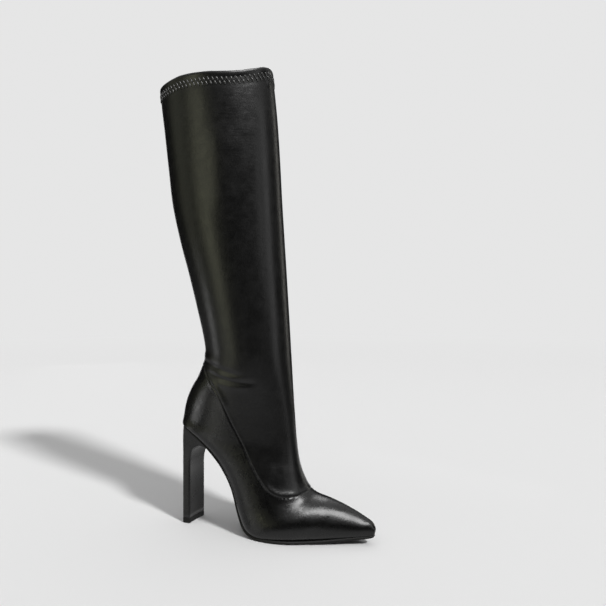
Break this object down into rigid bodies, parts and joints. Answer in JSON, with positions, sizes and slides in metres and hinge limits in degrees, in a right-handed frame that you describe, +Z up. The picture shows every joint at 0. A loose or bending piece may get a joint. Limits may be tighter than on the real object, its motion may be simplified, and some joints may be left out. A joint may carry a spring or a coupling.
{
  "type": "knee-high boot",
  "caption": "Right knee-high boot with a pointed toe, a tall slab heel, a plain stretch shaft and a zip with a hanging tab on the inner side.",
  "frame": {"origin": "on the floor, under the middle of the boot's box", "axes": "+X to the toe, +Y to the inner (medial) side, +Z up the leg"},
  "size_m": [0.248, 0.091, 0.493],
  "materials": {
    "leather": "smooth black, soft sheen",
    "sole_rubber": "matt black, fine texture",
    "insole_board": "dark sock lining",
    "heel_cover": "black lacquered cover",
    "lift_rubber": "black wearing rubber",
    "zip_tape": "black woven tape with a black coil",
    "zip_metal": "dark nickel, polished"
  },
  "bodies": {
    "boot": {"shaft": "leather", "upper": "leather", "outsole": "sole_rubber", "insole": "insole_board", "heel": "heel_cover", "top_lift": "lift_rubber", "zip_tape": "zip_tape", "zip_slider": "zip_metal"},
    "pull": {"zip_pull": "zip_metal"}
  },
  "joints": [
    {"name": "zip_pull_swing", "type": "hinge", "parent": "boot", "child": "pull", "pos_m": [-0.0243, 0.04329, 0.27188], "axis": [0.9977, -0.0682, 0], "range_deg": [0, 150]}
  ]
}
